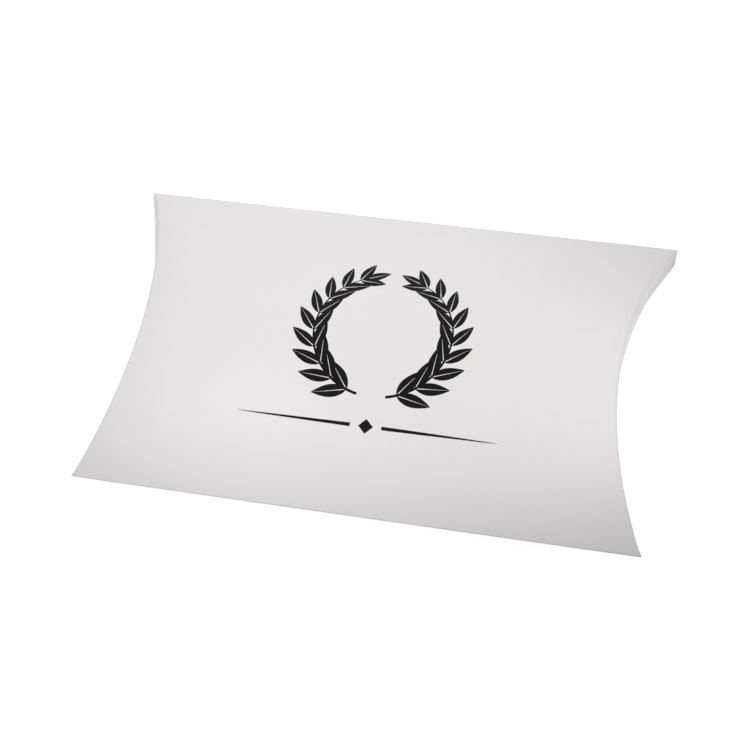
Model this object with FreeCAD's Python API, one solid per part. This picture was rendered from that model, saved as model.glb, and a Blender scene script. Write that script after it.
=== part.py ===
"""Pillow box of folding boxboard, lying on its bottom panel, closed at both ends.

The blank is folded into a tube of two bowed panels: one side fold, one glued seam.
Each end is closed by two flaps that fold on curved creases. A panel is part of a
cylinder along X and a closed flap is part of an upright cylinder of the same radius,
so the crease between them is an arc of a plane ellipse, at 45 degrees to both.

Frame: X along the box, Y across it with the seam at +Y, Z up from the resting crown.
"""
import FreeCAD
import Part

import math
import os

# Driving dimensions, in millimetres
box_length = 200.0  # corner to corner along X
box_width = 120.0  # side fold to side fold along Y
crown_rise = 15.0  # crown of a bowed panel from the plane of the side folds
board = 0.5  # caliper of the boxboard

# Side folds
fold_leg = 0.8  # board on each side of a fold's inner corner
fold_rounding = 0.4  # outside radius of a fold
seam_setback = 0.45  # raw edge of the top panel in from the box's width

# Glued seam
glue_flap_width = 15.0  # box edge to the free edge of the glue flap
glue_flap_inset = 4.0  # box corner to the end of the glue flap, at its fold
glue_flap_taper = 8.0  # how much shorter each end is at the free edge
glue_film = 0.08  # thickness of the adhesive
film_clearance = 0.06  # between the adhesive and the board on each side of it
glue_margin = 2.0  # glue flap left bare round the adhesive

# End creases and end flaps
crease_band = 1.4  # width of the scored strip along the end of a panel
hinge_gap = 0.3  # between the mitred edges of a crease and its flap
lap_gap = 0.4  # between a closed outer flap and the inner flap behind it
flap_tip_inset = 3.0  # box edge to the tip of a flap
outer_tip_side = 2.2  # straight side that an outer flap keeps at its tip
inner_tip_side = 1.5  # the same on an inner flap
flap_corner_rounding = 0.8  # corners of a flap's free edge
outer_flap_gap = 1.0  # free edge of an outer flap above the bottom crown
inner_flap_reach = 4.0  # free edge of an inner flap above the plane of the folds
notch_radius = 9.0  # thumb notch in the free edge of an outer flap

overrun = 4.0  # how far a cutting shape runs past what it cuts
snap = 0.001  # how near a point lies to the face that it is on

# Worked out from those
Vector = FreeCAD.Vector
UP = Vector(0, 0, 1)
DOWN = Vector(0, 0, -1)
INWARD = Vector(-1, 0, 0)

half_length = box_length / 2
half_width = box_width / 2
fold_plane = crown_rise
bow_radius = (half_width ** 2 + crown_rise ** 2) / (2 * crown_rise)
bow_drop = bow_radius - crown_rise
top_centre = Vector(-half_length - overrun, 0, fold_plane - bow_drop)
bottom_centre = Vector(-half_length - overrun, 0, fold_plane + bow_drop)
tube_run = Vector(box_length + 2 * overrun, 0, 0)
end_run = Vector(0, 0, 2 * (crown_rise + overrun))

film_face = bow_radius - board - film_clearance
film_back = film_face - glue_film
glue_face = film_back - film_clearance
inner_setback = board + lap_gap
flap_tip = half_width - flap_tip_inset


def bow_height(width):
    """Height of the bowed outline over the plane of the folds, at a distance from its middle."""
    return math.sqrt(bow_radius ** 2 - width ** 2) - bow_drop


def arc_point(centre, crown, radius, width):
    """Point of an arc about a centre, at a distance along Y from its crown."""
    return centre + crown * math.sqrt(radius ** 2 - width ** 2) + Vector(0, width, 0)


def arc(centre, crown, radius, start, end):
    """Edge along an arc, between two distances from its crown."""
    stations = (start, (start + end) / 2, end)
    return Part.Arc(*[arc_point(centre, crown, radius, width) for width in stations]).toShape()


def face_of(edges):
    return Part.Face(Part.Wire(Part.__sortEdges__(edges)))


def bowed_sheet(centre, crown, face_radius, back_radius, start, end, run):
    """Board bent about an axis, its cut edges square to it. Widths are measured on its face."""
    taper = back_radius / face_radius
    edges = [
        arc(centre, crown, face_radius, start, end),
        arc(centre, crown, back_radius, start * taper, end * taper),
    ]
    for width in (start, end):
        face_end = arc_point(centre, crown, face_radius, width)
        back_end = arc_point(centre, crown, back_radius, width * taper)
        edges.append(Part.makeLine(face_end, back_end))
    return face_of(edges).extrude(run)


def meeting_width(top_radius, bottom_radius):
    """Distance from the middle at which a top arc and a bottom arc cross."""
    height = (top_radius ** 2 - bottom_radius ** 2) / (4 * bow_drop)
    return math.sqrt(top_radius ** 2 - (height + bow_drop) ** 2)


def fold_start(top_face):
    """Distance from the middle at which a side fold takes over from the sheets it joins."""
    return meeting_width(top_face - board, bow_radius - board) - fold_leg


def edges_on(shape, test):
    return [edge for edge in shape.Edges if all(test(point) for point in edge.discretize(3))]


def side_fold(side, top_face):
    """V-shaped fold along one side, from the bottom panel to a sheet with that face radius."""
    tip = side * meeting_width(top_face, bow_radius)
    inner_tip = side * meeting_width(top_face - board, bow_radius - board)
    leg = side * fold_start(top_face)
    edges = []
    for centre, crown, radius in ((top_centre, UP, top_face), (bottom_centre, DOWN, bow_radius)):
        back_leg = leg * (radius - board) / radius
        edges.append(arc(centre, crown, radius, leg, tip))
        edges.append(arc(centre, crown, radius - board, back_leg, inner_tip))
        leg_face = arc_point(centre, crown, radius, leg)
        leg_back = arc_point(centre, crown, radius - board, back_leg)
        edges.append(Part.makeLine(leg_face, leg_back))
    strip = face_of(edges).extrude(tube_run)
    outside = edges_on(strip, lambda point: abs(point.y - tip) < snap)
    return strip.makeFillet(fold_rounding, outside)


def both_ends(shape):
    """A shape of the right end, and the same shape at the left end."""
    return [shape, shape.mirror(Vector(0, 0, 0), Vector(1, 0, 0))]


def trim_ends(shape, setback):
    """Cut a part of the tube to the hollow ends, setback in from the corners."""
    foot = Vector(half_length - setback + bow_drop, 0, -overrun)
    return shape.cut(both_ends(Part.makeCylinder(bow_radius, end_run.z, foot, UP)))


def flap_side(reach, side, gap):
    """All that lies on a flap's side of its mitred crease, a gap past it.

    The crease lies in a plane at 45 degrees, and the mitre is square to that plane.
    """
    tall = crown_rise + overrun
    square = Vector(1, 0, side)
    along_flap = Vector(1, 0, -side)
    centre = Vector(reach + bow_drop, 0, fold_plane - side * bow_drop)
    ellipse = Part.Ellipse(centre - along_flap * bow_radius, centre + Vector(0, bow_radius, 0), centre)
    turn = math.asin((half_width + overrun) / bow_radius)
    crease = Part.ArcOfEllipse(ellipse, -turn, turn).toShape()
    ends = [vertex.Point for vertex in crease.Vertexes]
    far = [end + along_flap * tall for end in ends]
    edges = [crease, Part.makeLine(*far)]
    edges += [Part.makeLine(end, corner) for end, corner in zip(ends, far)]
    face = face_of(edges)
    face.translate(UP * (-side * gap) - square * tall)
    return face.extrude(square * (2 * tall))


def end_sheet(setback):
    """Upright bowed sheet that closes the right end, before a flap is cut from it."""
    centre = Vector(half_length - setback + bow_drop, 0, -overrun)
    back_radius = bow_radius + board
    return bowed_sheet(centre, INWARD, bow_radius, back_radius, -half_width, half_width, end_run)


def thumb_notch(edge_height):
    foot = Vector(0, 0, fold_plane + edge_height)
    return Part.makeCylinder(notch_radius, box_length, foot, Vector(1, 0, 0))


def flap_outline(side, edge_height, tip_height):
    """All that lies within a flap's outline, seen along X: its free edge, tips and thumb notch."""
    base = fold_plane + side * (crown_rise + overrun)
    tips = [Vector(0, width, fold_plane + tip_height) for width in (-flap_tip, flap_tip)]
    bases = [Vector(0, width, base) for width in (-flap_tip, flap_tip)]
    edges = [Part.Arc(tips[0], Vector(0, 0, fold_plane + edge_height), tips[1]).toShape()]
    edges += [Part.makeLine(tip, corner) for tip, corner in zip(tips, bases)]
    edges.append(Part.makeLine(*bases))
    outline = face_of(edges).extrude(Vector(box_length, 0, 0))
    if side > 0:
        outline = outline.cut(thumb_notch(edge_height))

    def at_corner(edge):
        along_x = edge.BoundBox.YLength < snap and edge.BoundBox.ZLength < snap
        return along_x and abs(edge.BoundBox.ZMax - base) > snap

    return outline.makeFillet(flap_corner_rounding, [edge for edge in outline.Edges if at_corner(edge)])


def end_flap(setback, side, edge_height, tip_side):
    """Flap of the right end, cut from its sheet a hinge gap short of its crease."""
    tip_height = side * (bow_height(flap_tip) - hinge_gap - tip_side)
    outline = flap_outline(side, edge_height, tip_height)
    return end_sheet(setback).common(outline).common(flap_side(half_length - setback, side, hinge_gap))


def glue_plan(margin):
    """All that lies past the slanted right end of the glue flap, seen from above."""
    fold_x = half_length - glue_flap_inset - margin
    slant = glue_flap_taper / glue_flap_width
    near = half_width - 2 * glue_flap_width
    outline = [
        (fold_x, half_width),
        (box_length, half_width),
        (box_length, near),
        (fold_x - slant * (half_width - near), near),
    ]
    corners = [Vector(x, y, 0) for x, y in outline]
    return Part.Face(Part.makePolygon(corners + corners[:1])).extrude(UP * (2 * crown_rise))


def glue_strip(face_radius, back_radius, margin):
    """Strip under the back edge of the top panel: the glue flap, or the film on it."""
    start = half_width - glue_flap_width + margin
    end = fold_start(glue_face) - margin
    strip = bowed_sheet(top_centre, UP, face_radius, back_radius, start, end, tube_run)
    return strip.cut(both_ends(glue_plan(margin)))


def tube_pieces():
    """The panels before their ends are cut, the side folds and the glued seam."""
    back_radius = bow_radius - board
    front = -fold_start(bow_radius)
    raw_edge = half_width - seam_setback
    seam = fold_start(glue_face)
    top = bowed_sheet(top_centre, UP, bow_radius, back_radius, front, raw_edge, tube_run)
    bottom = bowed_sheet(bottom_centre, DOWN, bow_radius, back_radius, front, seam, tube_run)
    return {
        "top_panel": top,
        "bottom_panel": bottom,
        "front_fold": trim_ends(side_fold(-1, bow_radius), 0),
        "back_fold": trim_ends(side_fold(1, glue_face), inner_setback),
        "glue_flap": glue_strip(glue_face, glue_face - board, 0),
        "glue_line": glue_strip(film_face, film_back, glue_margin),
    }


def add_ends(pieces):
    """Cut each panel back to its creases, and add the creases and the flaps of both ends."""
    ends = (
        ("outer", "top_panel", 1, 0, outer_flap_gap - crown_rise, outer_tip_side),
        ("inner", "bottom_panel", -1, inner_setback, inner_flap_reach, inner_tip_side),
    )
    for layer, panel_name, side, setback, edge_height, tip_side in ends:
        reach = half_length - setback
        panel = pieces[panel_name]
        strip = flap_side(reach, side, -crease_band).cut(flap_side(reach, side, 0))
        creases = both_ends(panel.common(strip))
        flaps = both_ends(end_flap(setback, side, edge_height, tip_side))
        pieces[panel_name] = panel.cut(both_ends(flap_side(reach, side, -crease_band)))
        for end, crease, flap in zip(("right", "left"), creases, flaps):
            pieces[f"{end}_{layer}_crease"] = crease
            pieces[f"{end}_{layer}_flap"] = flap


def main():
    pieces = tube_pieces()
    add_ends(pieces)
    os.makedirs("parts", exist_ok=True)
    for name, shape in pieces.items():
        print(f"{name}: {len(shape.Solids)} solid, {shape.Volume:.1f} mm3, valid {shape.isValid()}")
        shape.exportStep(f"parts/{name}.step")


main()
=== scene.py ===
"""Pillow box of coated white boxboard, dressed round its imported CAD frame.

The board is built as sheets with thickness: bowed panels that roll over their curved
creases, side folds, a glued seam, and end flaps that bend along their creases.
Lengths of the box are in millimetres until a mesh is made. X runs along the box, Y across
it with the seam at +Y, Z up from the resting crown.
"""
import math

import bmesh
import bpy
import numpy as np
from mathutils import Matrix, Vector


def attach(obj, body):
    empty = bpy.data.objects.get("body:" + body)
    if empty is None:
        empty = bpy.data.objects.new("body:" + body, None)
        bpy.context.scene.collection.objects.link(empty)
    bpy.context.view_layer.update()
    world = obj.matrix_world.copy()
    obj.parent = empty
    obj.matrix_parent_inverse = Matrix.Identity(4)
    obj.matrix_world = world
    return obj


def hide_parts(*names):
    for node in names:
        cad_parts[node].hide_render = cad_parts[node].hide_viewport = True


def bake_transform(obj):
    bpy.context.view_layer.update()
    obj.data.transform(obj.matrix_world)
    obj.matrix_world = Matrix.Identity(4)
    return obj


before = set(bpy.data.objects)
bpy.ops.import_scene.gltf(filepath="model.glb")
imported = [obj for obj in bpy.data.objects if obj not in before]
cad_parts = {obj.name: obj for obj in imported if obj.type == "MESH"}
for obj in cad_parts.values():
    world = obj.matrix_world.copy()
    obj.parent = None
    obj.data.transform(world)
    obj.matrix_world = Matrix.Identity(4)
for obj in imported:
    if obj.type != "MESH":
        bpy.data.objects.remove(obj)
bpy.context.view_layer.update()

MILLIMETRE = 0.001  # in metres

# The box, as in the CAD source
box_length = 200.0
box_width = 120.0
crown_rise = 15.0
board = 0.5
fold_leg = 0.8
seam_setback = 0.45
glue_flap_width = 15.0
glue_flap_inset = 4.0
glue_flap_taper = 8.0
seam_gap = 0.2  # between the top panel and the glue flap, where the adhesive lies
inner_setback = 0.9  # inner flap and its crease behind the outer ones
outer_flap_gap = 1.0
inner_flap_reach = 4.0
notch_radius = 9.0
corner_rounding = 0.8

half_length = box_length / 2
half_width = box_width / 2
fold_plane = crown_rise
bow_radius = (half_width ** 2 + crown_rise ** 2) / (2 * crown_rise)
bow_drop = bow_radius - crown_rise
glue_face = bow_radius - board - seam_gap

# What the hand-folded board shows beyond the CAD solids
fold_rounding = 0.41  # outside of a side fold, a hair blunter than in the CAD source
fold_ease = 0.02  # how far the inside of a side fold is blunted
crease_radius = 0.7  # outside of the bend at an end crease
crease_full_rise = 2.0  # height of the bow over which the bend grows to that radius
bend_thickness = 0.75  # most of the bend's radius that the board takes up
crown_settle = 0.03  # how far a panel lies inside its ideal bow all over
end_dip = 0.5  # how far a panel sinks towards its end creases
dip_length = 9.0  # and how far from them that shows
groove_depth = 0.05  # press mark beside an end crease
groove_place = 1.5
groove_width = 0.35
score_reach = 0.3  # how far the strained coating and its painted crease shade show beside an end crease
fold_score_reach = 0.35  # and from the nose of a side fold
tip_at_crease = 59.5  # tips of the flaps, from the middle, along the crease
outer_tip = 54.7  # and at the free edge
inner_tip = 54.6
outer_tip_drop = 3.2  # tip of an outer flap below the plane of the folds
inner_tip_rise = 0.5  # tip of an inner flap above the plane of the folds
end_press = 1.3  # how far the right end is pressed in
press_width = 52.0  # where that starts, from the middle
press_slack = 0.3  # and how much of it the inner layer does not follow
right_tip_lean = 0.13  # back tip of the right outer flap, leaning out by this share
right_tip_start = 41.0  # and where that starts, from the middle
inner_lean = 3.0  # middle of an inner flap's free edge, sprung back from the outer flap
left_ajar = 7.2  # left outer flap, not pressed home at the back
left_ajar_tip = 59.6  # where it comes back to the end wall, at its back tip
left_ajar_run = 18.0  # and how soon it stands off from there
left_ajar_start = -35.0  # where it leaves the end wall, towards the front
left_ajar_length = 65.0  # and the width over which that grows
fold_end_setback = 0.25  # ends of the front fold behind the tips of the outer flaps

# Dents of a box that has been handled: place along and across, depth, spread
top_dents = (
    (-58.0, 34.0, 0.16, 17.0),
    (63.0, -30.0, 0.18, 15.0),
    (-40.0, -42.0, 0.10, 20.0),
    (48.0, 38.0, 0.12, 19.0),
)
bottom_dents = (
    (52.0, 24.0, 0.16, 18.0),
    (-60.0, -28.0, 0.14, 16.0),
)

# Layers of an end: an outer flap folds down from the top panel, an inner one up from the bottom
flap_layers = {
    "outer": {
        "side": 1, "notched": True, "setback": 0.0, "tip": outer_tip, "dents": top_dents,
        "edge_heights": (outer_flap_gap - crown_rise, -outer_tip_drop),
    },
    "inner": {
        "side": -1, "notched": False, "setback": inner_setback, "tip": inner_tip, "dents": bottom_dents,
        "edge_heights": (inner_flap_reach, inner_tip_rise),
    },
}

# Spacing and number of the mesh's rows
mesh_step = 1.6  # across the bow
edge_rows = (0.0, 0.3, 0.7, 1.2)  # across a panel, from its edge inwards
edge_spread = 1.9  # first of the evenly spaced rows behind the front edge
panel_end_rows = (  # along a panel, from its bend inwards
    0.0, 0.25, 0.6, 1.0, 1.25, 1.5, 1.75, 2.1,
    3.0, 4.5, 6.5, 9.0, 12.0, 16.0, 21.0, 27.0,
)
panel_middle_rows = 46
bend_steps = 6
fold_leg_rows = 5
fold_nose_rows = 9
fold_end_shares = (1.0, 0.995, 0.98)  # of a side fold's reach, from its end inwards
fold_even_share = 0.95
fold_even_rows = 25
glue_flap_rows = 41
notch_rows = 19
notch_corner_rows = 7
notch_corner_run = 0.2  # close rows past the rounded corner of the notch
tip_corner_rows = 6
flap_curl_share = 0.3  # of a flap's depth, with closer rows
flap_curl_rows = 13
flap_even_rows = 15
sharp_angle = 40.0  # degrees between faces that meet in a hard edge

FACE, BACK, EDGE = 0, 1, 2  # material places of a sheet


def arc_height(radius, width):
    """Height of an arc round a panel's axis over the plane of the folds."""
    return np.sqrt(radius ** 2 - np.square(width)) - bow_drop


def bow(width):
    """Height of the bowed outline over the plane of the folds."""
    return arc_height(bow_radius, width)


def meeting_width(top_radius, bottom_radius):
    """Distance from the middle at which a top arc and a bottom arc cross."""
    height = (top_radius ** 2 - bottom_radius ** 2) / (4 * bow_drop)
    return math.sqrt(top_radius ** 2 - (height + bow_drop) ** 2)


def fold_start(top_face):
    """Distance from the middle at which a side fold takes over from a panel."""
    return meeting_width(top_face - board, bow_radius - board) - fold_leg


def smooth_step(value):
    """Share that grows from 0 to 1 without a kink."""
    share = np.clip(value, 0, 1)
    return share * share * (3 - 2 * share)


def spaced(start, end, step):
    """Even places from start to end, about a step apart."""
    return np.linspace(start, end, max(2, int(round(abs(end - start) / step)) + 1))


def bend_radius(width):
    """Radius of the bend at an end crease: it runs out towards the corners."""
    return crease_radius * np.clip(bow(width) / crease_full_rise, 0, 1)


def dent_depth(dents, along, across):
    """How far the dents press a panel in."""
    depth = np.zeros(np.broadcast(along, across).shape)
    for place_x, place_y, deep, spread in dents:
        distance = np.square(along - place_x) + np.square(across - place_y)
        depth += deep * np.exp(-distance / (2 * spread ** 2))
    return depth


def panel_sag(dents, along, across, from_end):
    """How far a panel lies inside its ideal bow."""
    share = np.sqrt(np.clip(bow(across) / crown_rise, 0, 1))
    dip = end_dip * np.exp(-from_end / dip_length)
    groove = groove_depth * np.exp(-np.square((from_end - groove_place) / groove_width))
    return (crown_settle + dip + groove + dent_depth(dents, along, across)) * share


def press_depth(end, width):
    """How far the right end is pressed in, most of all halfway between its middle and its tips."""
    return end_press * (end > 0) * np.sin(math.pi * np.clip(np.abs(width) / press_width, 0, 1))


def inner_press(end, width):
    """How far the outer flap pushes the layer behind it in."""
    return np.clip(press_depth(end, width) - press_slack, 0, None)


def stand_off(end, width):
    """How far the free edge of a closed outer flap stands off the end wall."""
    if end > 0:
        return right_tip_lean * np.clip(width - right_tip_start, 0, None) - press_depth(end, width)
    ajar = left_ajar * (1 - np.exp((width - left_ajar_tip) / left_ajar_run))
    return ajar * smooth_step((width - left_ajar_start) / left_ajar_length)


def lean_in(end, width):
    """How far the free edge of an inner flap stands behind its closed place."""
    return inner_press(end, width) / 2 + inner_lean * (1 - np.square(width / inner_tip))


def grid_solid(parts):
    """Vertices, faces and face kinds of closed sheets, each between an outer and an inner grid."""
    points, faces, kinds = [], [], []
    for outer, inner in parts:
        rows, columns = outer.shape[:2]
        first = len(points)
        points.extend(outer.reshape(-1, 3))
        points.extend(inner.reshape(-1, 3))
        number = np.arange(rows * columns).reshape(rows, columns) + first
        back = rows * columns
        for i in range(rows - 1):
            for j in range(columns - 1):
                quad = [number[i, j], number[i, j + 1], number[i + 1, j + 1], number[i + 1, j]]
                faces.append(quad)
                faces.append([corner + back for corner in reversed(quad)])
                kinds += [FACE, BACK]
        rim = [*number[0, :], *number[1:, -1], *number[-1, -2::-1], *number[-2:0:-1, 0]]
        for here, there in zip(rim, rim[1:] + rim[:1]):
            faces.append([there, here, here + back, there + back])
            kinds.append(EDGE)
    return np.array(points), faces, kinds


def make_piece(name, parts, materials, scores=None):
    """Mesh object of one piece, with a material for its face, its back and its cut edges."""
    points, faces, kinds = grid_solid(parts)
    mesh = bpy.data.meshes.new(name)
    corners = [[int(corner) for corner in face] for face in faces]
    mesh.from_pydata((points * MILLIMETRE).tolist(), [], corners)
    mesh.polygons.foreach_set("material_index", kinds)
    mesh.polygons.foreach_set("use_smooth", [True] * len(faces))
    for material in materials:
        mesh.materials.append(material)
    if scores is not None:
        values = np.concatenate([np.concatenate([score.ravel()] * 2) for score in scores])
        attribute = mesh.attributes.new("score", "FLOAT", "POINT")
        attribute.data.foreach_set("value", values.astype(np.float32))
    shape = bmesh.new()
    shape.from_mesh(mesh)
    bmesh.ops.recalc_face_normals(shape, faces=shape.faces)
    shape.to_mesh(mesh)
    shape.free()
    mesh.set_sharp_from_angle(angle=math.radians(sharp_angle))
    piece = bpy.data.objects.new(name, mesh)
    bpy.context.scene.collection.objects.link(piece)
    return piece


def across_stations(start, end):
    """Places across a panel, closer together beside its two edges."""
    near = np.array(edge_rows)
    middle = spaced(start + edge_spread, end - near[-1], mesh_step)
    return np.concatenate([start + near, middle, end - near[-2::-1]])


def panel_reaches(side, setback, across):
    """How far a panel runs to the left and to the right, up to its bends."""
    full_reach = half_length - setback - bow(across) - bend_radius(across)
    if side > 0:
        return {-1: full_reach, 1: full_reach}
    return {end: full_reach - inner_press(end, across) for end in (-1, 1)}


def panel_normal(side, across):
    """Directions square to a bowed panel."""
    sine = across / bow_radius
    return np.stack([np.zeros_like(across), sine, side * np.sqrt(1 - sine ** 2)], 1)


def sheet_row(x, across, z, direction, thick):
    """One row of a sheet: points on its face and on its back."""
    face = np.stack([x, across, z], 1)
    return face, face - direction * thick[:, None]


def panel_bend(end, side, across, reach, dents):
    """Rows of the bend at one end of a panel, from the panel to the flap."""
    radius = bend_radius(across)
    base = fold_plane + side * (bow(across) - panel_sag(dents, end * reach, across, 0.0))
    thick = np.minimum(board, bend_thickness * radius)
    normal = panel_normal(side, across)
    still = np.zeros_like(across)
    wall = np.stack([end * normal[:, 2] * side, still, still], 1)
    rows = []
    for turn in np.linspace(0, math.pi / 2, bend_steps + 1)[1:]:
        x = end * (reach + radius * math.sin(turn))
        z = base - side * radius * (1 - math.cos(turn))
        direction = normal * math.cos(turn) + wall * math.sin(turn)
        direction /= np.linalg.norm(direction, axis=1)[:, None]
        # the whole bend takes the full score mark: strained coating and painted crease shade
        rows.append((*sheet_row(x, across, z, direction, thick), np.ones_like(across)))
    return rows


def panel_middle(side, across, reaches, dents):
    """Rows of a panel between its bends, closer together towards its ends."""
    centre = (reaches[1] - reaches[-1]) / 2
    half_reach = (reaches[1] + reaches[-1]) / 2
    shares = np.linspace(-1, 1, panel_middle_rows)[1:-1]
    places = [distance - reaches[-1] for distance in panel_end_rows]
    places += [centre + share * (half_reach - panel_end_rows[-1]) for share in shares]
    places += [reaches[1] - distance for distance in reversed(panel_end_rows)]
    normal = panel_normal(side, across)
    thick = np.full_like(across, board)
    rows = []
    for x in places:
        from_end = half_reach - np.abs(x - centre)
        z = fold_plane + side * (bow(across) - panel_sag(dents, x, across, from_end))
        mark = np.exp(-np.square(from_end / score_reach))
        rows.append((*sheet_row(x, across, z, normal, thick), mark))
    return rows


def panel_grid(side, setback, dents, across):
    """Face and back of a bowed panel with the bends of its end creases, and its score marks."""
    reaches = panel_reaches(side, setback, across)
    left_bend = panel_bend(-1, side, across, reaches[-1], dents)
    right_bend = panel_bend(1, side, across, reaches[1], dents)
    rows = left_bend[::-1] + panel_middle(side, across, reaches, dents) + right_bend
    return [np.array(grid) for grid in zip(*rows)]


def fold_leg_points(face, leg, touch, inside_tip):
    """One leg of a side fold, from its panel to the nose: face and back points across and up."""
    width = np.linspace(leg, touch, fold_leg_rows)
    inner_width = np.linspace(leg * (1 - board / face), inside_tip - fold_ease, fold_leg_rows)
    outer = np.stack([width, arc_height(face, width)], 1)
    inner = np.stack([inner_width, arc_height(face - board, inner_width)], 1)
    return outer, inner


def fold_nose_points(slope, nose, tip_height, inside_tip):
    """Nose of a side fold between its legs, from the top down: face and back points."""
    turn = np.linspace(math.pi / 2 - slope, slope - math.pi / 2, fold_nose_rows)[1:-1]
    rise = np.sin(turn)
    outer = np.stack([nose + fold_rounding * np.cos(turn), tip_height + fold_rounding * rise], 1)
    inner = np.stack([inside_tip - fold_ease * np.abs(rise), tip_height + fold_ease / 2 * rise], 1)
    return outer, inner


def fold_section(side, top_face):
    """Face and back outline of a side fold, from the top down: points across and up."""
    leg = fold_start(top_face)
    tip = meeting_width(top_face, bow_radius)
    inside_tip = meeting_width(top_face - board, bow_radius - board)
    slope = math.asin(tip / bow_radius)
    nose = tip - fold_rounding / math.sin(slope)
    touch = nose + fold_rounding * math.sin(slope)
    top = fold_leg_points(top_face, leg, touch, inside_tip)
    turn = fold_nose_points(slope, nose, arc_height(top_face, tip), inside_tip)
    bottom = fold_leg_points(bow_radius, leg, touch, inside_tip)
    outlines = []
    for above, between, below in zip(top, turn, bottom):
        under = below[::-1] * np.array([1, -1])
        outlines.append(np.concatenate([above, between, under]) * np.array([side, 1]))
    return outlines


def fold_grid(side, top_face, setback):
    """Face and back of a side fold, cut to the hollow ends, and its score marks."""
    sections = fold_section(side, top_face)
    ends = np.array(fold_end_shares)
    even = np.linspace(-fold_even_share, fold_even_share, fold_even_rows)
    shares = np.concatenate([-ends, even, ends[::-1]])
    grids = []
    for section in sections:
        width, height = section.T
        reach = half_length - setback - np.clip(bow(width), 0.0, None)
        grids.append(np.array([np.stack([share * reach, width, fold_plane + height], 1) for share in shares]))
    from_middle = np.abs(sections[0][:, 0])
    mark = np.exp(-np.square((from_middle.max() - from_middle) / fold_score_reach))
    return (*grids, np.tile(mark, (len(shares), 1)))


def glue_flap_grid():
    """Face and back of the glue flap, with its slanted ends, and its blank score marks."""
    across = spaced(fold_start(glue_face), half_width - glue_flap_width, mesh_step)
    slant = (half_width - across) / glue_flap_width
    reach = half_length - glue_flap_inset - glue_flap_taper * slant
    grids = []
    for radius in (glue_face, glue_face - board):
        width = across * radius / glue_face
        height = fold_plane + arc_height(radius, width)
        rows = [np.stack([share * reach, width, height], 1) for share in np.linspace(-1, 1, glue_flap_rows)]
        grids.append(np.array(rows))
    return (*grids, np.zeros(grids[0].shape[:2]))


def notch_outline(width):
    """Height of the thumb notch over a free edge, with rounded corners."""
    centre = math.sqrt((notch_radius + corner_rounding) ** 2 - corner_rounding ** 2)
    turn_in = centre * notch_radius / (notch_radius + corner_rounding)
    height = np.zeros_like(width)
    inside = np.abs(width) <= turn_in
    height[inside] = np.sqrt(notch_radius ** 2 - width[inside] ** 2)
    corner = (np.abs(width) > turn_in) & (np.abs(width) < centre)
    past = np.abs(width[corner]) - centre
    height[corner] = corner_rounding - np.sqrt(corner_rounding ** 2 - past ** 2)
    return height


def flap_stations(tip, notched):
    """Places along a free edge, closer together round the notch and at the tips."""
    if notched:
        notch = notch_radius * np.sin(np.linspace(0, math.pi / 2, notch_rows))
        corner_end = notch_radius + corner_rounding + notch_corner_run
        near = np.linspace(notch_radius, corner_end, notch_corner_rows)[1:]
        half = np.concatenate([notch, near])
    else:
        half = spaced(0.0, notch_radius, mesh_step)
    half = np.concatenate([half, spaced(half[-1], tip - corner_rounding, mesh_step)[1:]])
    corner = tip - corner_rounding * (1 - np.sin(np.linspace(0, math.pi / 2, tip_corner_rows)))
    half = np.concatenate([half, corner[1:]])
    return np.concatenate([-half[:0:-1], half])


def flap_edge(width, tip, middle_height, tip_height, notched):
    """Height of a flap's free edge over the plane of the folds, seen square to the end."""
    rise = tip_height - middle_height
    height = middle_height + rise * np.square(width / tip)
    if notched:
        height = height + notch_outline(width)
    past = np.clip((np.abs(width) - (tip - corner_rounding)) / corner_rounding, 0, 1)
    rounding = corner_rounding * (1 - np.sqrt(1 - past ** 2))
    return height + np.sign(rise) * rounding


def flap_shares():
    """Shares of a flap's depth at which it has rows, closer together where it curls."""
    curl = np.linspace(0, flap_curl_share, flap_curl_rows)[:-1]
    return np.concatenate([curl, np.linspace(flap_curl_share, 1, flap_even_rows)])


def flap_grid(end, side, notched, setback, tip, dents, edge_heights):
    """Face and back of one end flap, from its bend to its free edge, and its score marks."""
    below = flap_stations(tip, notched)
    above = below * tip_at_crease / tip
    radius = bend_radius(above)
    crease_x = half_length - setback - bow(above)
    edge_x = half_length - setback - bow(below)
    start = side * (bow(above) - radius - panel_sag(dents, end * (crease_x - radius), above, 0.0))
    stop = flap_edge(below, tip, *edge_heights, notched)
    full_stop = flap_edge(below, tip, *edge_heights, False)
    crease_press = 0.0 if side > 0 else -inner_press(end, above)
    edge_press = stand_off(end, below) if side > 0 else -lean_in(end, below)
    outer, inner, score = [], [], []
    for share in flap_shares():
        width = above + (below - above) * share
        height = start + (stop - start) * share
        lean = (start - height) / (start - full_stop)
        x = crease_x + (edge_x - crease_x) * share + crease_press + (edge_press - crease_press) * lean
        face = np.stack([end * x, width, fold_plane + height], 1)
        depth = board / np.sqrt(1 - (width / bow_radius) ** 2)
        still = np.zeros_like(width)
        outer.append(face)
        inner.append(face - np.stack([end * depth, still, still], 1))
        score.append(np.exp(-np.square((start - height) * side / score_reach)))
    return np.array(outer), np.array(inner), np.array(score)


# Most of a noise lies between these two values
noise_low = 0.3
noise_high = 0.7


def new_material(name):
    """A new material, its node tree and its shader."""
    material = bpy.data.materials.new(name)
    material.use_nodes = True
    tree = material.node_tree
    return material, tree, tree.nodes["Principled BSDF"]


def stretched(tree, scale):
    """Object coordinates, drawn out along the grain of the board where a scale is below one."""
    place = tree.nodes.new("ShaderNodeTexCoord")
    mapping = tree.nodes.new("ShaderNodeMapping")
    mapping.inputs["Scale"].default_value = scale
    tree.links.new(place.outputs["Object"], mapping.inputs["Vector"])
    return mapping.outputs["Vector"]


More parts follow.
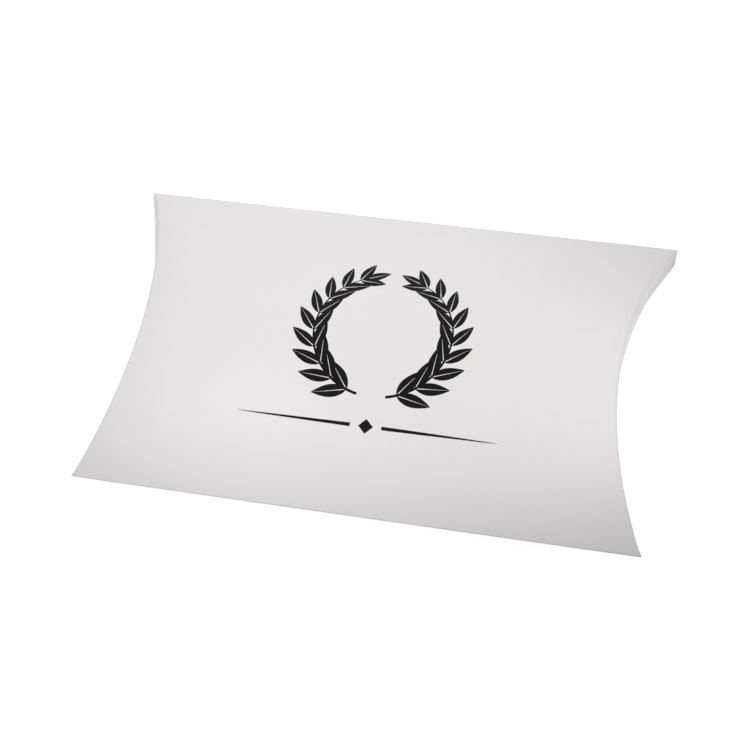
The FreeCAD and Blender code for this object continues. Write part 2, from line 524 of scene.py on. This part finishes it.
def noise(tree, vector, scale, detail, roughness):
    """Noise of one size over a space."""
    texture = tree.nodes.new("ShaderNodeTexNoise")
    texture.inputs["Scale"].default_value = scale
    texture.inputs["Detail"].default_value = detail
    texture.inputs["Roughness"].default_value = roughness
    tree.links.new(vector, texture.inputs["Vector"])
    return texture.outputs["Fac"]


def ranged(tree, value, low, high, start=0, end=1):
    """Value that runs from low to high where another runs from start to end."""
    convert = tree.nodes.new("ShaderNodeMapRange")
    convert.inputs["From Min"].default_value = start
    convert.inputs["From Max"].default_value = end
    convert.inputs["To Min"].default_value = low
    convert.inputs["To Max"].default_value = high
    tree.links.new(value, convert.inputs["Value"])
    return convert.outputs["Result"]


def pattern(tree, vector, noise_values, low=0, high=1):
    """Noise spread over a range."""
    return ranged(tree, noise(tree, vector, *noise_values), low, high, noise_low, noise_high)


def combined(tree, operation, first, second):
    """Result of a sum on the outputs of two other nodes."""
    node = tree.nodes.new("ShaderNodeMath")
    node.operation = operation
    tree.links.new(first, node.inputs[0])
    tree.links.new(second, node.inputs[1])
    return node.outputs[0]


def mixed(tree, factor, first, second):
    """Mix of two colours, each a colour or the output of another node."""
    mix = tree.nodes.new("ShaderNodeMix")
    mix.data_type = "RGBA"
    tree.links.new(factor, mix.inputs["Factor"])
    for socket, colour in (("A", first), ("B", second)):
        target = [i for i in mix.inputs if i.name == socket and i.type == "RGBA"][0]
        if isinstance(colour, tuple):
            target.default_value = (*colour, 1)
        else:
            tree.links.new(colour, target)
    return [o for o in mix.outputs if o.type == "RGBA"][0]


def bumped(tree, shader, height, strength, depth, under=None):
    """Relief of a shader, over another relief or none."""
    bump = tree.nodes.new("ShaderNodeBump")
    bump.inputs["Strength"].default_value = strength
    bump.inputs["Distance"].default_value = depth
    tree.links.new(height, bump.inputs["Height"])
    if under is not None:
        tree.links.new(under, bump.inputs["Normal"])
    tree.links.new(bump.outputs["Normal"], shader.inputs["Normal"])
    return bump.outputs["Normal"]


def mottled(name, grain, noise_values, colours, roughness, relief):
    """A new material whose colour, roughness and relief follow one pattern."""
    material, tree, shader = new_material(name)
    spots = pattern(tree, stretched(tree, grain), noise_values)
    tree.links.new(mixed(tree, spots, *colours), shader.inputs["Base Color"])
    tree.links.new(ranged(tree, spots, *roughness), shader.inputs["Roughness"])
    bumped(tree, shader, spots, *relief)
    return material


# Materials. A grain stretches a pattern, a pattern is the scale, detail and roughness of a
# noise, a roughness runs between two values, a relief is a strength and a depth in metres
even_grain = (1, 1, 1)

coat_grain = (0.45, 1, 1)
coat_clouds = (22, 3, 0.5)
coat_mottle = (620, 4, 0.6)
coat_cracks = (1900, 3, 0.7)
coat_peel = (260, 2, 0.5)
coat_fibres = (1500, 3, 0.65)
coat_whites = ((0.842, 0.828, 0.826), (0.858, 0.844, 0.843))
coat_mottle_colour = (0.828, 0.813, 0.809)
coat_mottle_share = 0.35
# grey of strained coating along the scores, which also serves as painted shade darkening the crease bends
coat_strain_and_shade_colour = (0.70, 0.695, 0.685)
coat_strain_and_shade_share = 0.35
coat_crack_least = 0.25  # strain and painted shade that show between the cracks
coat_roughness = (0.44, 0.54)
coat_weight = 0.12
coat_gloss_roughness = 0.32
coat_peel_relief = (0.10, 0.00012)
coat_fibre_relief = (0.14, 0.00005)

bare_grain = (0.3, 1, 1)
bare_fibres = (900, 5, 0.7)
bare_clouds = (60, 3, 0.5)
bare_colours = ((0.74, 0.725, 0.695), (0.81, 0.80, 0.775))
bare_cloud_colour = (0.775, 0.76, 0.73)
bare_cloud_share = 0.5
bare_roughness = (0.78, 0.92)
bare_relief = (0.35, 0.00008)

edge_plies = (2600, 4, 0.7)
edge_colours = ((0.66, 0.645, 0.61), (0.79, 0.78, 0.755))
edge_roughness = (0.82, 0.95)
edge_relief = (0.5, 0.00008)

glue_grain = (0.5, 1, 1)
glue_patches = (160, 4, 0.5)
glue_colours = ((0.80, 0.77, 0.66), (0.86, 0.85, 0.80))
glue_roughness = (0.28, 0.5)
glue_relief = (0.3, 0.00006)

ink_mottle = (1100, 4, 0.65)
ink_colours = ((0.004, 0.0036, 0.0039), (0.009, 0.0082, 0.0087))
ink_roughness = (0.40, 0.52)
ink_relief = (0.12, 0.00004)
ink_specular = 0.06


def coated_board():
    """Printed face of the board: smooth white clay coat over fibres, greyed along the scores by strained
    coating and by painted shade on the crease bends.
    """
    material, tree, shader = new_material("coated_board")
    fibre_space = stretched(tree, coat_grain)
    even_space = stretched(tree, even_grain)
    mottle = pattern(tree, fibre_space, coat_mottle)
    white = mixed(tree, pattern(tree, even_space, coat_clouds), *coat_whites)
    white = mixed(tree, ranged(tree, mottle, 0, coat_mottle_share), white, coat_mottle_colour)
    marks = tree.nodes.new("ShaderNodeAttribute")
    marks.attribute_name = "score"
    cracks = pattern(tree, even_space, coat_cracks, coat_crack_least)
    # score marks times cracks: strained coating, and painted shade on the crease bends
    strain_and_shade = combined(tree, "MULTIPLY", marks.outputs["Fac"], cracks)
    strained_and_shaded = ranged(tree, strain_and_shade, 0, coat_strain_and_shade_share)
    tree.links.new(mixed(tree, strained_and_shaded, white, coat_strain_and_shade_colour), shader.inputs["Base Color"])
    tree.links.new(ranged(tree, mottle, *coat_roughness), shader.inputs["Roughness"])
    shader.inputs["Coat Weight"].default_value = coat_weight
    shader.inputs["Coat Roughness"].default_value = coat_gloss_roughness
    peel = bumped(tree, shader, noise(tree, even_space, *coat_peel), *coat_peel_relief)
    bumped(tree, shader, noise(tree, fibre_space, *coat_fibres), *coat_fibre_relief, peel)
    return material


def bare_board():
    """Inside of the board: uncoated fibres."""
    material, tree, shader = new_material("bare_board")
    fibre_space = stretched(tree, bare_grain)
    fibres = pattern(tree, fibre_space, bare_fibres)
    clouds = pattern(tree, fibre_space, bare_clouds, 0, bare_cloud_share)
    tone = mixed(tree, fibres, *bare_colours)
    tree.links.new(mixed(tree, clouds, tone, bare_cloud_colour), shader.inputs["Base Color"])
    tree.links.new(ranged(tree, fibres, *bare_roughness), shader.inputs["Roughness"])
    bumped(tree, shader, fibres, *bare_relief)
    return material


def cut_edge():
    """Die-cut edge of the board: pressed plies, a little darker than its faces."""
    return mottled("cut_edge", even_grain, edge_plies, edge_colours, edge_roughness, edge_relief)


def dried_adhesive():
    """Film of white glue, dried clear in patches."""
    return mottled("dried_adhesive", glue_grain, glue_patches, glue_colours, glue_roughness, glue_relief)


def black_ink():
    """Dense black printing ink with the slight mottle of a flexible plate."""
    material = mottled("black_ink", even_grain, ink_mottle, ink_colours, ink_roughness, ink_relief)
    shader = material.node_tree.nodes["Principled BSDF"]
    shader.inputs["Specular IOR Level"].default_value = ink_specular
    return material


# Printed ornament: a wreath of leaves over a plain divider
wreath_place = (2.0, 4.0)  # its middle, along and across the panel
wreath_radius = 24.5
wreath_leaf_pairs = 9  # on each branch
wreath_start = -78.0  # degrees from level, at the foot of a branch
wreath_end = 66.0  # and at its tip
first_leaf_turn = 9.0  # degrees from the foot to the first leaves
last_leaf_turn = 6.0  # and from the last leaves to the tip
leaf_length = 12.5
leaf_half_width = 2.35
leaf_spread = 33.0  # degrees off the branch
leaf_fullest = 0.82  # power that moves the widest place of a leaf towards its foot
leaf_fullness = 0.9  # power that makes its outline fuller
leaf_shrink = 0.25  # share of their length that the leaves lose towards the tip
end_leaf_share = 0.7  # of the full length, for the leaf at the tip
leaf_vein = 0.16  # half the width of the bare vein at the foot of a leaf
leaf_vein_end = 0.01  # and at its tip
leaf_vein_limit = 0.5  # most of the leaf's width that it takes
stem_half_width = 0.5
stem_tip_share = 0.35  # of that width, at the tip
divider_place = -31.0
divider_length = 40.0
divider_half_width = 0.62
divider_taper = 0.7  # power that thins a rule towards its end
divider_space = 5.5  # from the middle to each rule
diamond_half = 2.6
ink_spread = 0.03  # half the width of the ink where a form ends
ink_lift = 0.022  # face of the ink over the panel
ink_root = -0.03  # and its back

# Number of the ornament's rows
stem_rows = 49
rule_rows = 41
stroke_columns = 3
leaf_rows = 15
leaf_columns = 4
diamond_rows = 7


def ink_point(along, around, lift):
    """Points over the top panel, from places along it and round its bow."""
    angle = around / bow_radius
    across = bow_radius * np.sin(angle)
    from_end = half_length - bow(across) - bend_radius(across) - np.abs(along)
    radius = bow_radius + lift - panel_sag(top_dents, along, across, from_end)
    return np.stack([along, radius * np.sin(angle), fold_plane - bow_drop + radius * np.cos(angle)], -1)


def ink_patch(along, around):
    """Face and back of one printed form."""
    return ink_point(along, around, ink_lift), ink_point(along, around, ink_root)


def leaf(foot_x, foot_y, heading, length):
    """Two halves of a pointed leaf with a bare vein between them."""
    shares = np.linspace(0.0, 1.0, leaf_rows)
    swell = np.sin(math.pi * shares ** leaf_fullest) ** leaf_fullness
    body = leaf_half_width * (length / leaf_length) * swell + ink_spread
    vein = np.minimum(leaf_vein * (1 - shares) + leaf_vein_end, body * leaf_vein_limit)
    sides = np.linspace(0, 1, leaf_columns)
    halves = []
    for side in (-1, 1):
        offset = side * (vein[:, None] + (body - vein)[:, None] * sides)
        run = np.broadcast_to((shares * length)[:, None], offset.shape)
        x = foot_x + run * math.cos(heading) - offset * math.sin(heading)
        y = foot_y + run * math.sin(heading) + offset * math.cos(heading)
        halves.append(ink_patch(x, y))
    return halves


def leaf_on_branch(side, angle, spread, length):
    """Leaf with its foot on a branch, turned off the branch by an angle in degrees."""
    foot_x = wreath_place[0] + side * wreath_radius * math.cos(angle)
    foot_y = wreath_place[1] + wreath_radius * math.sin(angle)
    heading = angle + math.pi / 2 + math.radians(spread)
    return leaf(foot_x, foot_y, heading if side > 0 else math.pi - heading, length)


def stem(side):
    """Tapered stem of one branch of the wreath."""
    angles = np.radians(np.linspace(wreath_start, wreath_end, stem_rows))[:, None]
    taper = stem_half_width * np.linspace(1.0, stem_tip_share, stem_rows)[:, None]
    radius = wreath_radius + taper * np.linspace(-1, 1, stroke_columns)
    x = wreath_place[0] + side * radius * np.cos(angles)
    return ink_patch(x, wreath_place[1] + radius * np.sin(angles))


def branch(side):
    """One leafy branch of the wreath."""
    patches = [stem(side)]
    first, last = wreath_start + first_leaf_turn, wreath_end - last_leaf_turn
    for number, angle in enumerate(np.radians(np.linspace(first, last, wreath_leaf_pairs))):
        length = leaf_length * (1.0 - leaf_shrink * number / (wreath_leaf_pairs - 1))
        for spread in (-leaf_spread, leaf_spread):
            patches += leaf_on_branch(side, angle, spread, length)
    patches += leaf_on_branch(side, math.radians(wreath_end), 0, leaf_length * end_leaf_share)
    return patches


def divider():
    """Two tapered rules with a diamond between them."""
    patches = []
    shares = np.linspace(0, 1, rule_rows)
    half = divider_half_width * (1 - shares) ** divider_taper + ink_spread
    y = divider_place + half[:, None] * np.linspace(-1, 1, stroke_columns)
    for side in (-1, 1):
        x = wreath_place[0] + side * (divider_space + divider_length * shares)
        patches.append(ink_patch(np.broadcast_to(x[:, None], y.shape), y))
    spread = np.linspace(-1, 1, diamond_rows)
    u, v = np.meshgrid(spread, spread, indexing="ij")
    x = wreath_place[0] + (u + v) / 2 * diamond_half
    patches.append(ink_patch(x, divider_place + (u - v) / 2 * diamond_half))
    return patches


def build_tube(face, back, edge):
    """Panels, side folds and glue flap."""
    front = -fold_start(bow_radius)
    top_across = across_stations(front, half_width - seam_setback)
    bottom_across = across_stations(front, fold_start(glue_face))
    makers = (
        ("top_panel_board", panel_grid(1, 0.0, top_dents, top_across),
         ("top_panel", "left_outer_crease", "right_outer_crease")),
        ("bottom_panel_board", panel_grid(-1, inner_setback, bottom_dents, bottom_across),
         ("bottom_panel", "left_inner_crease", "right_inner_crease")),
        ("front_fold_board", fold_grid(-1, bow_radius, fold_end_setback), ("front_fold",)),
        ("back_fold_board", fold_grid(1, glue_face, inner_setback), ("back_fold",)),
        ("glue_flap_board", glue_flap_grid(), ("glue_flap",)),
    )
    for name, (outer, inner, score), stands_for in makers:
        piece = make_piece(name, [(outer, inner)], (face, back, edge), [score])
        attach(piece, "tube")
        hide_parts(*stands_for)


def build_flaps(face, back, edge):
    """Outer and inner flaps of both ends, each bending from its crease down to its free edge."""
    for end_name, end in (("left", -1), ("right", 1)):
        for layer, shape in flap_layers.items():
            outer, inner, score = flap_grid(end, **shape)
            name = f"{end_name}_{layer}_flap"
            piece = make_piece(f"{name}_board", [(outer, inner)], (face, back, edge), [score])
            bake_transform(piece)
            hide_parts(name)


def build_print(ink):
    """Printed ornament on the top panel."""
    patches = branch(-1) + branch(1) + divider()
    piece = make_piece("printed_ornament", patches, (ink, ink, ink))
    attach(piece, "tube")


def dress_glue_line():
    """Dried look of the adhesive, whose CAD solid stays."""
    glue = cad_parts["glue_line"]
    glue.data.materials.clear()
    glue.data.materials.append(dried_adhesive())


# Camera: place in metres, axes in the box's frame, lens and sensor
camera_place = (0.090579, -0.238637, 0.503106)
camera_forward = (-0.16602, 0.424963, -0.889856)
camera_up = (-0.123895, 0.88624, 0.446351)
camera_lens = 73.964
camera_sensor = 36.0


def place_camera():
    """Camera at the photograph's viewing angle."""
    data = bpy.data.cameras.new("camera")
    data.lens = camera_lens
    data.sensor_width = camera_sensor
    camera = bpy.data.objects.new("camera", data)
    forward = Vector(camera_forward).normalized()
    up = (Vector(camera_up) - forward * forward.dot(Vector(camera_up))).normalized()
    right = forward.cross(up)
    turn = Matrix((right, up, -forward)).transposed().to_4x4()
    camera.matrix_world = Matrix.Translation(Vector(camera_place)) @ turn
    bpy.context.scene.collection.objects.link(camera)
    bpy.context.scene.camera = camera


# Soft boxes: azimuth and elevation round the box in degrees, distance and width in metres, level
soft_boxes = (
    ("over", 329.0, 60.0, 0.23, 0.18, 0.516),
    ("over_left", 304.0, 57.0, 0.118, 0.07, 0.095),
    ("over_right", 77.5, 42.0, 0.132, 0.08, 0.168),
    ("right", 105.0, 12.0, 0.30, 0.24, 0.336),
    ("left", 290.0, 5.0, 0.60, 0.36, 0.262),
    ("behind", 195.0, 30.0, 0.26, 0.28, 0.600),
)
light_target = (0.0, 0.0, 0.02)

# Room and floor, in metres and levels of light
full_white = 1.0
room_level = 0.02  # light that the room gives
floor_white = 0.80
floor_roughness = 1.0
floor_glow = 0.72  # what the floor shows under the box
floor_half = 4.0
floor_near = 0.15  # the floor whitens from here
floor_far = 0.45  # and is full white from here


def place_lamps():
    """Soft boxes round the box, each aimed at its middle."""
    target = Vector(light_target)
    for name, azimuth, elevation, distance, width, level in soft_boxes:
        turn, tilt = math.radians(azimuth), math.radians(elevation)
        away = Vector((math.sin(turn) * math.cos(tilt), -math.cos(turn) * math.cos(tilt), math.sin(tilt)))
        data = bpy.data.lights.new(name, "AREA")
        data.shape = "SQUARE"
        data.size = width
        data.energy = level * (math.pi * distance) ** 2
        lamp = bpy.data.objects.new(name, data)
        lamp.location = target + away * distance
        lamp.rotation_euler = (-away).to_track_quat("-Z", "Y").to_euler()
        bpy.context.scene.collection.objects.link(lamp)


def seen_directly(tree):
    """One for camera, mirror and glass rays, zero for the rays that carry light."""
    path = tree.nodes.new("ShaderNodeLightPath")
    total = path.outputs["Is Camera Ray"]
    for name in ("Is Glossy Ray", "Is Transmission Ray"):
        total = combined(tree, "MAXIMUM", total, path.outputs[name])
    return total


def light_room():
    """White room that lights the box only a little."""
    world = bpy.data.worlds.new("room")
    bpy.context.scene.world = world
    world.use_nodes = True
    tree = world.node_tree
    background = tree.nodes["Background"]
    background.inputs["Color"].default_value = (1, 1, 1, 1)
    strength = ranged(tree, seen_directly(tree), room_level, full_white)
    tree.links.new(strength, background.inputs["Strength"])


def pale_floor():
    """Matt floor that whitens away from the box."""
    material, tree, shader = new_material("pale_floor")
    shader.inputs["Base Color"].default_value = (floor_white, floor_white, floor_white, 1)
    shader.inputs["Roughness"].default_value = floor_roughness
    shader.inputs["Specular IOR Level"].default_value = 0.0
    shader.inputs["Emission Color"].default_value = (1, 1, 1, 1)
    place = tree.nodes.new("ShaderNodeTexCoord")
    distance = tree.nodes.new("ShaderNodeVectorMath")
    distance.operation = "LENGTH"
    tree.links.new(place.outputs["Object"], distance.inputs[0])
    glow = ranged(tree, distance.outputs["Value"], floor_glow, full_white, floor_near, floor_far)
    seen = combined(tree, "MULTIPLY", glow, seen_directly(tree))
    tree.links.new(seen, shader.inputs["Emission Strength"])
    return material


def lay_floor():
    """Floor under the resting crown."""
    mesh = bpy.data.meshes.new("floor")
    corners = [(-1, -1), (1, -1), (1, 1), (-1, 1)]
    mesh.from_pydata([(x * floor_half, y * floor_half, 0) for x, y in corners], [], [(0, 1, 2, 3)])
    mesh.materials.append(pale_floor())
    floor = bpy.data.objects.new("floor", mesh)
    bpy.context.scene.collection.objects.link(floor)


def main():
    """The whole scene."""
    bpy.context.scene.view_settings.view_transform = "Standard"
    face, back, edge = coated_board(), bare_board(), cut_edge()
    build_tube(face, back, edge)
    build_flaps(face, back, edge)
    build_print(black_ink())
    dress_glue_line()
    place_camera()
    place_lamps()
    light_room()
    lay_floor()


main()
